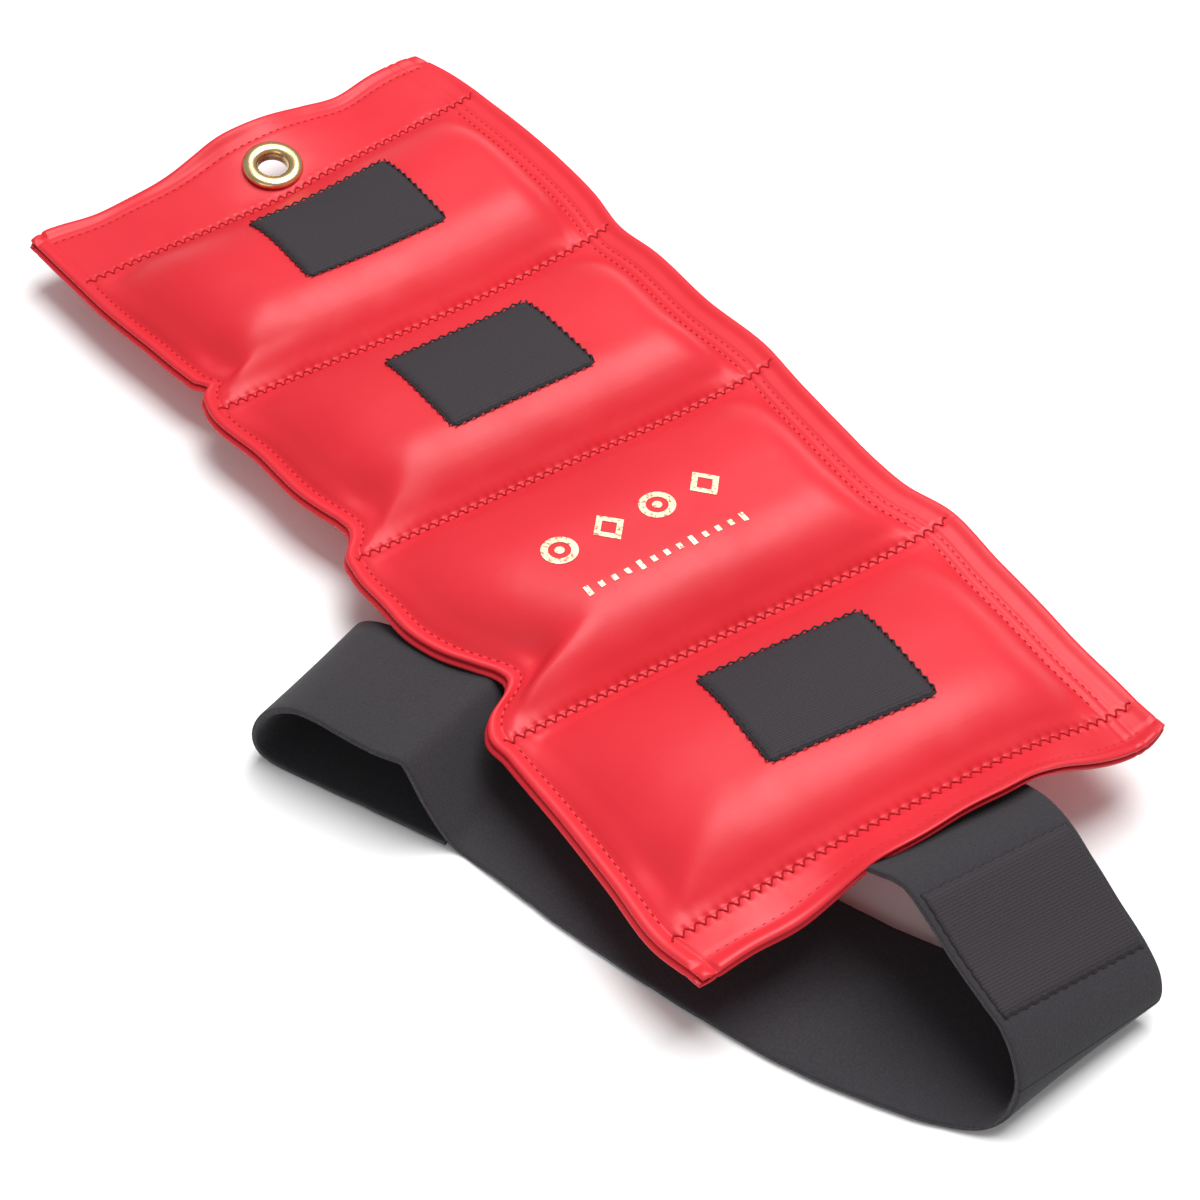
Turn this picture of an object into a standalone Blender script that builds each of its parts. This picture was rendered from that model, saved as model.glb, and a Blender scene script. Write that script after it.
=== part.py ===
"""Ankle cuff weight: four shot-filled vinyl pockets, a header with a grommet, a tail and a strap.

+X runs along the cuff from the header to the tail, +Y across it, +Z up. The origin is the
bottom centre of the whole object's box. Sizes are in millimetres until a mesh is made.
"""
import math

import bmesh
import bpy
from mathutils import Matrix, Vector

MM = 0.001
GAP = 0.3                                        # between pieces that touch
BOX_CENTRE = Vector((23.4395, -17.1854, 0.0))    # of the object, from the middle of the cuff

# The cuff: five cross seams, 0 to 4 from header to tail
SEAM_X = (-167.5, -84.5, 0.3, 86.3, 169.5)       # where each seam crosses the long axis
SEAM_LEAN = (-0.063, -0.024, 0.012, 0.025, 0.049)  # how far it leans along X, for each mm of Y
SEAM_Z = (15.0, 15.5, 17.5, 20.0, 27.0)          # height of the sewn-down strip's mid-plane
FLOOR_Z = (0.0, 0.0, 0.0, 2.8, 2.8)              # lowest point of the pockets along the cuff
SEAM_HALF_WIDTH = 1.5
SEAM_EDGE = 1.95                                 # from a seam's middle to the covers it joins
NEAR_EDGE_Y = -71.0
FAR_EDGE_Y = 88.0
NEAR_HEM = 7.0                                   # flat turned edge
FAR_HEM = 16.0                                   # flat stitched flange
VINYL = 0.8
PLIES_HALF = VINYL + GAP / 2                     # half of the two sheets sewn together

# The pockets
CROWN = 14.5                                     # height of a pocket's top over its seams
ROUND_OFF = 26.0                                 # distance over which a pocket swells up
ROUND_POWER = 2.2
TUCKS = (                                        # near edge drawn in: middle X, half width, depth
    (-96.5, 7.0, 4.0),
    (-18.0, 14.0, 6.5),
    (62.0, 24.0, 13.0),
)
EDGE_STEPS = (0.0, 3.0, 8.0, 15.0, ROUND_OFF)    # stations from a pocket's edge to its flat top
FILL_INSET = 8.0                                 # of the shot from its pocket's edges
FILL_GAP = 1.3                                   # between the shot and the sheets around it

# Header, tail and patches
HEADER_END_X = -202.0
HEADER_RISE = 0.27                               # slope of the header, up away from its seam
HEADER_NEAR_Y = -80.0
HEADER_FAR_Y = 84.0
HEADER_CORNER = ((0.0, 0.0), (0.5, 0.0), (0.8, 1.44), (1.0, 4.0))  # share of its length, inset
HEADER_SIDE = 12.0                               # of the stretch that the corners take
TAIL_LENGTH = 15.5
TAIL_NEAR_Y = -73.0
TAIL_FAR_Y = 84.0
TAIL_DROOP = -3.5                                # of the tail's edge at its two sides
TAIL_LIFT = 9.5                                  # of the tail's edge where the strap lifts it
LIFTED_Y = (-26.0, 37.0)                         # stretch of the tail that lies on the strap
LIFT_FADE = 28.0
PATCH_LENGTH = 38.5
PATCH_WIDTH = 51.5
PATCH_THICK = 1.4
PATCH_Y = 5.5
PATCH_X = {"hook_patch_1": -129.3, "hook_patch_2": -41.0, "hook_patch_4": 125.5}

# Grommet, in the header
GROMMET_X = -180.5
GROMMET_Y = 4.5
GROMMET_R = 10.6
GROMMET_HOLE_R = 5.05
BARREL_R = 5.85
FLANGE = 1.3
RIM = 0.4                                        # height of the eyelet's outer rim
OUTER_ROLL = 1.2
INNER_ROLL = 1.8
HOLE_SIDES = 32
CUTTER_DEPTH = 10.0
RING_STEPS = 40
SHARP_EDGE = math.radians(40)

# Strap: a flat laminate. A station is X, Y, Z of its middle, the heading of its width from
# +Y towards -X and the tilt of its width, both in degrees.
STRAP_WIDTH = 53.0
STRAP_HALF = 1.1                                 # half its thickness
STRAP_Y = 5.0
ROUNDED_END = tuple(math.radians(angle) for angle in (35, 65, 85))
ROOT_X = (175.0, 179.0, 183.0)                   # the sewn root, below the tail
CREST = ((187.0, 5, 34.9, 0, -3.0), (191.0, 5, 37.2, 0, -5.0), (195.0, 5, 38.3, 0, -6.5))
CREST_HINGE = (198.5, 5, 38.3, 0, -7.0)
UPPER_RUN = ((205.5, 5, 35.8, 0, -7.0), (213, 5, 32.2, 0, -7.3), (222, 5, 28.0, 0, -8.0),
             (230, 5, 25.0, 0.5, -9.0))
BEND_TOP_HINGE = (236.0, 5, 22.3, 1, -10.0)
BEND = ((241.8, 4.6, 17.0, 2, -9.5), (245.2, 3, 10.8, 4, -7.5), (244.3, 0, 5.4, 8, -4.5),
        (240.0, -5, 2.3, 14, -2.0))
BEND_BOTTOM_HINGE = (232.5, -11.5, STRAP_HALF, 18, 0)
FLOOR_RUN = ((221, -20, STRAP_HALF, 21, 0), (196, -34.4, STRAP_HALF, 22, 0),
             (167, -46, STRAP_HALF, 21, 0), (130, -57.5, STRAP_HALF, 19, 0),
             (100, -65.0, STRAP_HALF, 22, 0))

# The near loop of the strap, in a plane of its own: distance along it, height and tilt
LOOP_START = Vector((36.7, -120.3, 0.0))
LOOP_HEADING = 25.5
LOOP_MIDDLE = 25.5                               # from its near edge to its middle
FOOT_HINGE = (64.0, STRAP_HALF, 0)
RISE = ((59.5, 4.4, -3.0), (55.0, 10.0, -6.0), (51.0, 16.3, -10.0), (48.6, 20.0, -12.5))
CREASE_HINGE = (47.0, 21.4, -13.5)
TOP_RUN = ((37.0, 20.4, -13.5), (25.0, 20.9, -15.0), (17.5, 21.1, -16.0))
FOLD_TOP_HINGE = (12.0, 20.4, -16.0)
FOLD = ((5.0, 17.0, -13.0), (0.0, 11.5, -8.5), (-1.8, 6.5, -4.5), (-0.6, 2.9, -1.5))
FOLD_BOTTOM_HINGE = (4.0, STRAP_HALF, 0)
FREE_END = ((30.0, STRAP_HALF, 0), (56.0, STRAP_HALF, 0))

STRAP_PATCH_X = (203.0, 229.0)
STRAP_PATCH_WIDTH = 49.0


def clear_scene():
    for thing in list(bpy.data.objects):
        bpy.data.objects.remove(thing, do_unlink=True)


def material(name, colour, roughness, metallic=0.0):
    made = bpy.data.materials.new(name)
    made.use_nodes = True
    shader = made.node_tree.nodes["Principled BSDF"]
    shader.inputs["Base Color"].default_value = (*colour, 1.0)
    shader.inputs["Roughness"].default_value = roughness
    shader.inputs["Metallic"].default_value = metallic
    return made


def in_frame(point):
    """A point of the cuff, in millimetres, as metres in the object's frame."""
    return (Vector(point) - BOX_CENTRE) * MM


def add_solid(name, points, faces, look, origin):
    """Add a named solid whose object origin sits on its joint, at origin."""
    at = in_frame(origin)
    mesh = bpy.data.meshes.new(name)
    mesh.from_pydata([in_frame(point) - at for point in points], [], faces)
    shape = bmesh.new()
    shape.from_mesh(mesh)
    bmesh.ops.recalc_face_normals(shape, faces=shape.faces)
    shape.to_mesh(mesh)
    shape.free()
    mesh.materials.append(look)
    solid = bpy.data.objects.new(name, mesh)
    solid.location = at
    bpy.context.scene.collection.objects.link(solid)
    return solid


def add_slab(name, upper, lower, look, origin):
    """Add the closed solid between two grids of points that have the same rows and columns.

    Every square is split along the same diagonal, so that slabs which share a grid nest.
    """
    rows = len(upper)
    columns = len(upper[0])
    points = [point for grid in (upper, lower) for row in grid for point in row]

    def number(side, row, column):
        return (side * rows + row) * columns + column

    faces = []
    for row in range(rows - 1):
        for column in range(columns - 1):
            corners = [(row, column), (row + 1, column), (row + 1, column + 1), (row, column + 1)]
            for first, second in ((1, 2), (2, 3)):
                half = (corners[0], corners[first], corners[second])
                faces.append([number(0, *corner) for corner in half])
                faces.append([number(1, *corner) for corner in reversed(half)])
    rim = [(row, 0) for row in range(rows)]
    rim += [(rows - 1, column) for column in range(1, columns)]
    rim += [(row, columns - 1) for row in range(rows - 2, -1, -1)]
    rim += [(0, column) for column in range(columns - 2, 0, -1)]
    for first, second in zip(rim, rim[1:] + rim[:1]):
        faces.append([number(0, *first), number(0, *second), number(1, *second), number(1, *first)])
    return add_solid(name, points, faces, look, origin)


def seam_x(seam, y):
    return SEAM_X[seam] + SEAM_LEAN[seam] * y


def seam_point(seam):
    return (SEAM_X[seam], 0.0, SEAM_Z[seam])


def along_cuff(pocket, x, y, heights):
    """The height at (x, y), read straight between the heights at the pocket's two seams."""
    start = seam_x(pocket, y)
    share = (x - start) / (seam_x(pocket + 1, y) - start)
    return heights[pocket] + share * (heights[pocket + 1] - heights[pocket])


def near_edge(x):
    """Y of the near edge of the cuff, with its three tucks."""
    y = NEAR_EDGE_Y
    for middle, half_width, depth in TUCKS:
        if abs(x - middle) < half_width:
            y += depth * math.cos((x - middle) / half_width * math.pi / 2) ** 2
    return y


def swell(distance):
    """Share of a pocket's full height at a distance from its edge."""
    reach = min(max(distance / ROUND_OFF, 0.0), 1.0)
    return 1 - (1 - reach) ** ROUND_POWER


def stations(start, end, first=0.0):
    """Places from one edge of a pocket to the other, close together at both edges."""
    steps = [max(step, first) for step in EDGE_STEPS if step == EDGE_STEPS[0] or step > first]
    return [start + step for step in steps] + [end - step for step in reversed(steps)]


def pocket_grid(pocket, height, seam_inset, hems):
    """Grid of points (x, y, height) over one pocket, with or without its flat hems."""
    grid = []
    middle_y = (NEAR_EDGE_Y + FAR_EDGE_Y) / 2
    for step in stations(seam_x(pocket, middle_y) + SEAM_EDGE,
                         seam_x(pocket + 1, middle_y) - SEAM_EDGE, seam_inset):
        shift = step - seam_x(pocket, middle_y)
        share = shift / (seam_x(pocket + 1, middle_y) - seam_x(pocket, middle_y))
        near = near_edge(step)
        ys = stations(near + NEAR_HEM, FAR_EDGE_Y - FAR_HEM, seam_inset)
        if hems:
            ys = [near] + ys + [FAR_EDGE_Y]
        row = []
        for y in ys:
            start = seam_x(pocket, y)
            x = start + share * (seam_x(pocket + 1, y) - start)
            side = min(x - start, seam_x(pocket + 1, y) - x) - SEAM_EDGE
            end = min(y - near - NEAR_HEM, FAR_EDGE_Y - FAR_HEM - y)
            row.append((x, y, height(x, y, swell(side) * swell(end))))
        grid.append(row)
    return grid


def add_pocket(pocket, looks, origin):
    """Front cover, back cover and shot of one pocket, counted from 0."""
    def middle(x, y):
        return along_cuff(pocket, x, y, SEAM_Z)

    def crown(x, y, share):
        return middle(x, y) + GAP / 2 + CROWN * share

    def belly(x, y, share):
        depth = middle(x, y) - PLIES_HALF - along_cuff(pocket, x, y, FLOOR_Z)
        return middle(x, y) - GAP / 2 - depth * share

    def shifted(surface, rise):
        return lambda x, y, share: surface(x, y, share) + rise

    layers = (
        ("front_cover", shifted(crown, VINYL), crown, 0.0, True, "vinyl"),
        ("back_cover", belly, shifted(belly, -VINYL), 0.0, True, "vinyl"),
        ("shot_fill", shifted(crown, -FILL_GAP), shifted(belly, FILL_GAP), FILL_INSET, False, "shot"),
    )
    for name, upper, lower, inset, hems, look in layers:
        add_slab(f"{name}_{pocket + 1}", pocket_grid(pocket, upper, inset, hems),
                 pocket_grid(pocket, lower, inset, hems), looks[look], origin)


def add_seam(seam, near, far, look, origin):
    """The sewn-down strip of both sheets at one cross seam."""
    grids = []
    for rise in (PLIES_HALF, -PLIES_HALF):
        grids.append([[(seam_x(seam, y) + side * SEAM_HALF_WIDTH, y, SEAM_Z[seam] + rise)
                       for y in (near, far)] for side in (-1, 1)])
    add_slab(f"seam_{seam}", grids[0], grids[1], look, origin)


def header_height(x, y):
    """Mid-plane of the header flap, which rises away from its seam."""
    return SEAM_Z[0] + HEADER_RISE * (seam_x(0, y) - x)


def add_header(looks, origin):
    """Two sheets of the header flap, both pierced for the grommet."""
    plan = []
    for share, inset in HEADER_CORNER:
        ys = (HEADER_NEAR_Y + inset, HEADER_NEAR_Y + HEADER_SIDE,
              HEADER_FAR_Y - HEADER_SIDE, HEADER_FAR_Y - inset)
        row = []
        for y in ys:
            start = seam_x(0, y) - SEAM_EDGE
            row.append((start + share * (HEADER_END_X - start), y))
        plan.append(row)
    lean = math.atan(HEADER_RISE)
    centre = (GROMMET_X, GROMMET_Y, header_height(GROMMET_X, GROMMET_Y))
    turn = Matrix.Rotation(lean, 4, "Y")
    bpy.ops.mesh.primitive_cylinder_add(vertices=HOLE_SIDES, radius=(BARREL_R + GAP) * MM,
                                        depth=CUTTER_DEPTH * MM)
    cutter = bpy.context.object
    cutter.name = "header_hole_cutter"
    cutter.matrix_world = Matrix.Translation(in_frame(centre)) @ turn
    cutter.hide_render = True
    cutter.display_type = "WIRE"
    for name, low, high in (("front", GAP / 2, PLIES_HALF), ("back", -PLIES_HALF, -GAP / 2)):
        grids = [[[(x, y, header_height(x, y) + rise) for x, y in row] for row in plan]
                 for rise in (high, low)]
        sheet = add_slab(f"header_{name}_sheet", grids[0], grids[1], looks["vinyl"], origin)
        hole = sheet.modifiers.new("grommet hole", "BOOLEAN")
        hole.operation = "DIFFERENCE"
        hole.object = cutter
    add_grommet(centre, turn, looks["brass"])


def add_turned(name, profile, centre, turn, look):
    """A ring turned about its axis from a closed profile of (radius, height) points."""
    points = []
    faces = []
    count = len(profile)
    for step in range(RING_STEPS):
        angle = 2 * math.pi * step / RING_STEPS
        for radius, height in profile:
            points.append(Vector((radius * math.cos(angle), radius * math.sin(angle), height)))
        following = (step + 1) % RING_STEPS
        for corner in range(count):
            after = (corner + 1) % count
            faces.append((step * count + corner, step * count + after,
                          following * count + after, following * count + corner))
    placed = [turn @ point + Vector(centre) for point in points]
    ring = add_solid(name, placed, faces, look, centre)
    ring.data.shade_smooth()
    ring.data.set_sharp_from_angle(angle=SHARP_EDGE)


def add_grommet(centre, turn, look):
    """Rolled eyelet with its barrel through the header, and the flat washer behind it."""
    face = PLIES_HALF + GAP
    tail = -face - FLANGE
    add_turned("grommet_eyelet", [
        (GROMMET_HOLE_R, tail), (BARREL_R, tail), (BARREL_R, face), (GROMMET_R, face),
        (GROMMET_R, face + RIM), (GROMMET_R - OUTER_ROLL, face + FLANGE),
        (GROMMET_HOLE_R + INNER_ROLL, face + FLANGE), (GROMMET_HOLE_R, face),
    ], centre, turn, look)
    add_turned("grommet_washer", [
        (BARREL_R + GAP, tail), (GROMMET_R, tail), (GROMMET_R, -face), (BARREL_R + GAP, -face),
    ], centre, turn, look)


def fade(value):
    """Smooth step from 0 to 1."""
    share = min(max(value, 0.0), 1.0)
    return share * share * (3 - 2 * share)


def tail_height(x, y):
    """Mid-plane of the tail flap, lifted where it lies on the strap."""
    before = fade((y - LIFTED_Y[0] + LIFT_FADE) / LIFT_FADE)
    after = fade((LIFTED_Y[1] + LIFT_FADE - y) / LIFT_FADE)
    rise = TAIL_DROOP + (TAIL_LIFT - TAIL_DROOP) * before * after
    return SEAM_Z[4] + rise * (x - seam_x(4, y)) / TAIL_LENGTH


def add_tail(looks, origin):
    """Two sheets of the tail flap."""
    ys = (TAIL_NEAR_Y, -60, -47, -36, LIFTED_Y[0], STRAP_Y, LIFTED_Y[1], 47, 56, 65, TAIL_FAR_Y)
    for name, low, high in (("front", GAP / 2, PLIES_HALF), ("back", -PLIES_HALF, -GAP / 2)):
        grids = []
        for rise in (high, low):
            grid = []
            for out in (SEAM_EDGE, TAIL_LENGTH / 2, TAIL_LENGTH):
                grid.append([(seam_x(4, y) + out, y, tail_height(seam_x(4, y) + out, y) + rise)
                             for y in ys])
            grids.append(grid)
        add_slab(f"tail_{name}_sheet", grids[0], grids[1], looks["vinyl"], origin)


def add_patches(looks, origins):
    """Hook tape sewn on the flat tops of three pockets."""
    for name, x_middle in PATCH_X.items():
        pocket = int(name[-1]) - 1
        grids = []
        for rise in (PATCH_THICK, 0.0):
            grid = []
            for x in (x_middle - PATCH_LENGTH / 2, x_middle, x_middle + PATCH_LENGTH / 2):
                row = []
                for y in (PATCH_Y - PATCH_WIDTH / 2, PATCH_Y + PATCH_WIDTH / 2):
                    top = along_cuff(pocket, x, y, SEAM_Z) + PLIES_HALF + CROWN
                    row.append((x, y, top + GAP + rise))
                grid.append(row)
            grids.append(grid)
        add_slab(name, grids[0], grids[1], looks["hook"], origins[pocket])


def station(x, y, z, heading, tilt):
    """The middle of the strap and the unit vector along its width, near edge to far edge."""
    turn = math.radians(heading)
    lean = math.radians(tilt)
    across = Vector((-math.sin(turn) * math.cos(lean), math.cos(turn) * math.cos(lean),
                     math.sin(lean)))
    return Vector((x, y, z)), across


def loop_station(distance, z, tilt):
    """A station of the near loop, as one of the strap's ordinary stations."""
    turn = math.radians(LOOP_HEADING)
    along = Vector((math.cos(turn), math.sin(turn), 0.0))
    side = Vector((-math.sin(turn), math.cos(turn), 0.0))
    middle = LOOP_START + along * distance + side * LOOP_MIDDLE
    return (middle.x, middle.y, z, LOOP_HEADING, tilt)


def root_stations():
    """The strap's root, which follows the underside of the tail."""
    made = []
    half = STRAP_WIDTH / 2
    below = PLIES_HALF + GAP + STRAP_HALF
    for x in ROOT_X:
        near = tail_height(x, STRAP_Y - half) - below
        far = tail_height(x, STRAP_Y + half) - below
        made.append((x, STRAP_Y, (near + far) / 2, 0, math.degrees((far - near) / STRAP_WIDTH)))
    return made


def add_strap_piece(name, route, look, rounded_end, cut_back, lift=0.0, half=STRAP_HALF,
                    width=STRAP_WIDTH):
    """A stretch of strap along stations.

    The end on a fold line that the piece carries is rounded about the line, and the start is
    cut back from the fold line before it, so that the two turn freely.
    """
    middles = [station(*place)[0] for place in route]
    widths = [station(*place)[1] for place in route]
    thick = [half] * len(route)
    if cut_back:
        middles[0] = middles[0] + (middles[1] - middles[0]).normalized() * (half + GAP)
    if rounded_end:
        onward = (middles[-1] - middles[-2]).normalized()
        for angle in ROUNDED_END:
            middles.append(middles[len(route) - 1] + onward * half * math.sin(angle))
            widths.append(widths[len(route) - 1])
            thick.append(half * math.cos(angle))
    upper = []
    lower = []
    for number, (middle, across) in enumerate(zip(middles, widths)):
        ahead = middles[min(number + 1, len(middles) - 1)]
        behind = middles[max(number - 1, 0)]
        normal = (ahead - behind).cross(across).normalized()
        for side, rise in ((upper, thick[number]), (lower, -thick[number])):
            side.append([middle + across * share * width / 2 + normal * (rise + lift)
                         for share in (-1, 1)])
    origin = route[0][:3]
    return add_slab(name, upper, lower, look, origin)


def add_strap(looks):
    """The strap, from its root under the tail to its free end under the near loop."""
    foot = loop_station(*FOOT_HINGE)
    crease = loop_station(*CREASE_HINGE)
    fold_top = loop_station(*FOLD_TOP_HINGE)
    fold_bottom = loop_station(*FOLD_BOTTOM_HINGE)
    pieces = (
        ("strap_root", (*root_stations(), *CREST, CREST_HINGE), False, True),
        ("strap_upper_run", (CREST_HINGE, *UPPER_RUN, BEND_TOP_HINGE), True, True),
        ("strap_bend", (BEND_TOP_HINGE, *BEND, BEND_BOTTOM_HINGE), True, True),
        ("strap_floor_run", (BEND_BOTTOM_HINGE, *FLOOR_RUN, foot), True, True),
        ("strap_rise", (foot, *[loop_station(*place) for place in RISE], crease), True, True),
        ("strap_top_run", (crease, *[loop_station(*place) for place in TOP_RUN], fold_top),
         True, True),
        ("strap_fold", (fold_top, *[loop_station(*place) for place in FOLD], fold_bottom),
         True, True),
        ("strap_free_end", (fold_bottom, *[loop_station(*place) for place in FREE_END]),
         True, False),
    )
    for name, route, cut_back, rounded_end in pieces:
        add_strap_piece(name, route, looks["strap"], rounded_end, cut_back)
    first, last = STRAP_PATCH_X
    covered = [place for place in UPPER_RUN if first < place[0] < last]
    route = (at_x(first), *covered, at_x(last))
    add_strap_piece("strap_hook_patch", route, looks["hook"], False, False,
                    lift=-(STRAP_HALF + GAP + PATCH_THICK / 2), half=PATCH_THICK / 2,
                    width=STRAP_PATCH_WIDTH)


def at_x(x):
    """The station of the upper run at one X, between its two neighbours."""
    places = (CREST_HINGE, *UPPER_RUN, BEND_TOP_HINGE)
    for before, after in zip(places, places[1:]):
        if before[0] <= x <= after[0]:
            share = (x - before[0]) / (after[0] - before[0])
            return tuple(a + share * (b - a) for a, b in zip(before, after))
    return places[-1]


def build():
    clear_scene()
    looks = {
        "vinyl": material("red_vinyl", (0.72, 0.045, 0.07), 0.28),
        "shot": material("steel_shot", (0.42, 0.42, 0.43), 0.45, 0.9),
        "seam": material("seam_thread", (0.42, 0.02, 0.035), 0.6),
        "brass": material("grommet_brass", (0.80, 0.66, 0.38), 0.22, 1.0),
        "hook": material("hook_tape", (0.055, 0.045, 0.055), 0.8),
        "strap": material("strap_laminate", (0.045, 0.040, 0.050), 0.85),
    }
    pocket_origins = [seam_point(1), seam_point(2), seam_point(2), seam_point(3)]
    for pocket, origin in enumerate(pocket_origins):
        add_pocket(pocket, looks, origin)
    seam_owners = (0, 1, 2, 2, 3)
    seam_ends = [(HEADER_NEAR_Y, HEADER_FAR_Y)] + [(NEAR_EDGE_Y, FAR_EDGE_Y)] * 3
    seam_ends.append((TAIL_NEAR_Y, TAIL_FAR_Y))
    for seam, owner in enumerate(seam_owners):
        add_seam(seam, *seam_ends[seam], looks["seam"], pocket_origins[owner])
    add_header(looks, seam_point(0))
    add_tail(looks, seam_point(4))
    add_patches(looks, pocket_origins)
    add_strap(looks)


build()
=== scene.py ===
"""Looks of an ankle cuff weight: red vinyl pockets, stitched seams, hook tape and a laminate strap.

Shapes are worked out in the cuff's own millimetres: X along the cuff from the header to the
tail, Y across it, Z up. placed() turns them into the frame's metres.
"""

import math

import bmesh
import bpy
import numpy as np
from mathutils import Matrix, Vector
from mathutils.kdtree import KDTree

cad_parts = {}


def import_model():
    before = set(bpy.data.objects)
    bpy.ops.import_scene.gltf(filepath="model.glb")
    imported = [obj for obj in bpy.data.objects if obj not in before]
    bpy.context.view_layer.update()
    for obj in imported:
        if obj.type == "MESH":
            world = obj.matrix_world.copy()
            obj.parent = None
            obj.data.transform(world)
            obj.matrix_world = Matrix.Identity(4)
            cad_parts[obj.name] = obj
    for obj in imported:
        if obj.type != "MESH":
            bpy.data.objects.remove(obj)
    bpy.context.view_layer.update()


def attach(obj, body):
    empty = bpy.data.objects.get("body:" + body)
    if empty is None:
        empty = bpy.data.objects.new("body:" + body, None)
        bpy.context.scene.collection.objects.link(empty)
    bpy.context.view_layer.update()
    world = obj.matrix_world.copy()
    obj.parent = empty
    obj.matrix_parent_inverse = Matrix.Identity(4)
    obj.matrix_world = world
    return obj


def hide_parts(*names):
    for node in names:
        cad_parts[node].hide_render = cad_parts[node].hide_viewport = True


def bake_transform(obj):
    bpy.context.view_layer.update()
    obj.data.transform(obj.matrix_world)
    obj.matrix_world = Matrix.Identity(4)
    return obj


MM = 0.001
UV_SCALE = 10
BOX_CENTRE = np.array((23.4395, -17.1854, 0.0))

# Cross seams 0 to 4, from the header to the tail
SEAM_X = (-167.5, -84.5, 0.3, 86.3, 169.5)
SEAM_LEAN = (-0.063, -0.024, 0.012, 0.025, 0.049)
SEAM_FLOOR = (0.0, 0.0, 0.0, 2.8, 2.8)
SEAM_HEIGHT = (  # height along each seam, as (Y, Z)
    ((-80, 17), (-60, 17), (-21, 15.5), (2, 15.5), (20, 17.5), (50, 19.5), (90, 22.5)),
    ((-80, 17.5), (75, 18.5), (90, 21.5)),
    ((-80, 19.5), (0, 18.5), (75, 20), (90, 23)),
    ((-80, 20), (0, 20.5), (75, 22), (90, 24.5)),
    ((-80, 21.5), (-60, 23.5), (-32, 27), (5, 28), (45, 27), (72, 22.5), (90, 23.5)),
)
SEAM_LINE = 1.1  # half width of the sewn-down strip
SEAM_STRIP = 3.6  # half width of the seam's own piece
STITCH_PITCH = 3.4
STITCH_REACH = 1.1  # half width of a zigzag
STITCH_RADIUS = 0.22
STITCH_LIFT = 0.1  # over the skin
THREAD_SIDES = 6
STITCH_OFFSET = 0.6  # by which each seam's zigzag is shifted

# Outline of the cuff in plan
NEAR_EDGE = (
    (-205, -83), (-188, -81.5), (-165, -79.5), (-147, -78), (-121, -74), (-103, -71.2),
    (-98, -70), (-94.4, -67.6), (-91, -70.8), (-86.5, -72.3), (-56, -69.9), (-32, -68),
    (-24.6, -66.2), (-17.4, -64.2), (-12, -63.8), (-8.3, -65.6), (-3.2, -70), (4.4, -71.8),
    (20.8, -71.5), (34.8, -70.9), (46, -67.2), (56, -61.2), (62, -57.8), (66, -57.6),
    (69.5, -61), (74, -68.5), (79, -72.6), (90, -73), (116, -73.3), (142, -74.4), (164, -75.7),
    (180, -73.2), (200, -72),
)
FAR_EDGE = (
    (-205, 76.6), (-194.8, 80.2), (-163, 84.8), (-124, 87), (-102, 86.4), (-82, 84), (-66, 85.6),
    (-34, 85.2), (-5, 87), (14, 85.3), (37, 83.8), (58, 82.8), (70, 83.2), (86, 86.6),
    (111, 85.3), (130, 84.4), (149, 83), (167, 82.6), (185, 81.6), (200, 81),
)
NEAR_HEM = 5.2
FAR_HEM = 12.6
HEM_STEP = 1.0  # by which the back sheet's turned edge stands out
HEM_ROLL = (  # near turned edge, out round its fold and in again: distance in, height
    (2.3, 0.08), (1.5, 0.12), (0.8, 0.28), (0.3, 0.6), (0.04, 1.0), (0.06, 1.4), (0.35, 1.8),
    (0.9, 2.08), (1.6, 2.15), (2.3, 2.0), (3.0, 1.65), (3.7, 1.3), (4.3, 1.1), (4.8, 1.02),
)
FLANGE_ROLL = ((1.6, 0.08), (0.7, 0.2), (0.15, 0.6), (0.0, 1.0), (0.1, 1.4), (0.5, 1.75),
               (1.2, 1.9), (2.2, 1.75), (3.2, 1.35))
FLANGE_FLAT = 3.6  # where the flange's turned edge ends
FLANGE_STEP = 0.7
FLANGE_ROWS = (8.6, 11.7)  # stitch rows, from the far edge
SAG_LESS = 0.95  # by which the back skin sags less than its seams' height over the floor
SAG_CLEARANCE = 0.3  # and a little less again
PLY = 1.05  # from the middle out to the flat skins
ROW_GROOVE = 0.55  # half widths of the dips along a stitch row and along a turned edge
EDGE_GROOVE = 0.6
CROWN = (15.5, 15.5, 15.5, 12.5)  # each pocket's height over its seams
RISE_REACH = 42.0  # over which a pocket swells, from each side
FALL_REACH = 28.0
NEAR_REACH = 36.0
FAR_REACH = 20.0
BACK_REACH = 20.0
SWELL_POWER = 2.5
NEAR_POWER = 2.6
RIDGE_LENGTH = 34.0  # ridge from the near corner up to the crown
RIDGE_HEIGHT = 2.0
RIDGE_START = 2.5
RIDGE_RUN = 20.0
TAIL_DENT = (0.42, 19, 7, 4, 6)  # depth, place and width along, then across
HEADER_DENT = (0.2, 6, 6, 6, 8)
SETTLE_SCALE = 10.0  # the cloth settles at ten times its size
SETTLE_FRAMES = 20
SETTLE_LIMIT = 1.1  # furthest that the cloth may move
SETTLE_CLOTH = {
    "quality": 7, "mass": 0.3, "tension_stiffness": 30, "compression_stiffness": 12,
    "shear_stiffness": 8, "bending_stiffness": 1.2, "air_damping": 4, "use_pressure": True,
    "uniform_pressure_force": 4.0, "shrink_min": -0.03,
}
SETTLE_ROWS = 50
SETTLE_COLUMNS = 34
SETTLE_HOLD = 2.0  # cells over which it is let go from its seams

HEADER_LENGTH = 32.2
TAIL_LENGTH = 15.0
HEADER_STITCH = 7.0
TAIL_STITCH = 5.5

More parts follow.
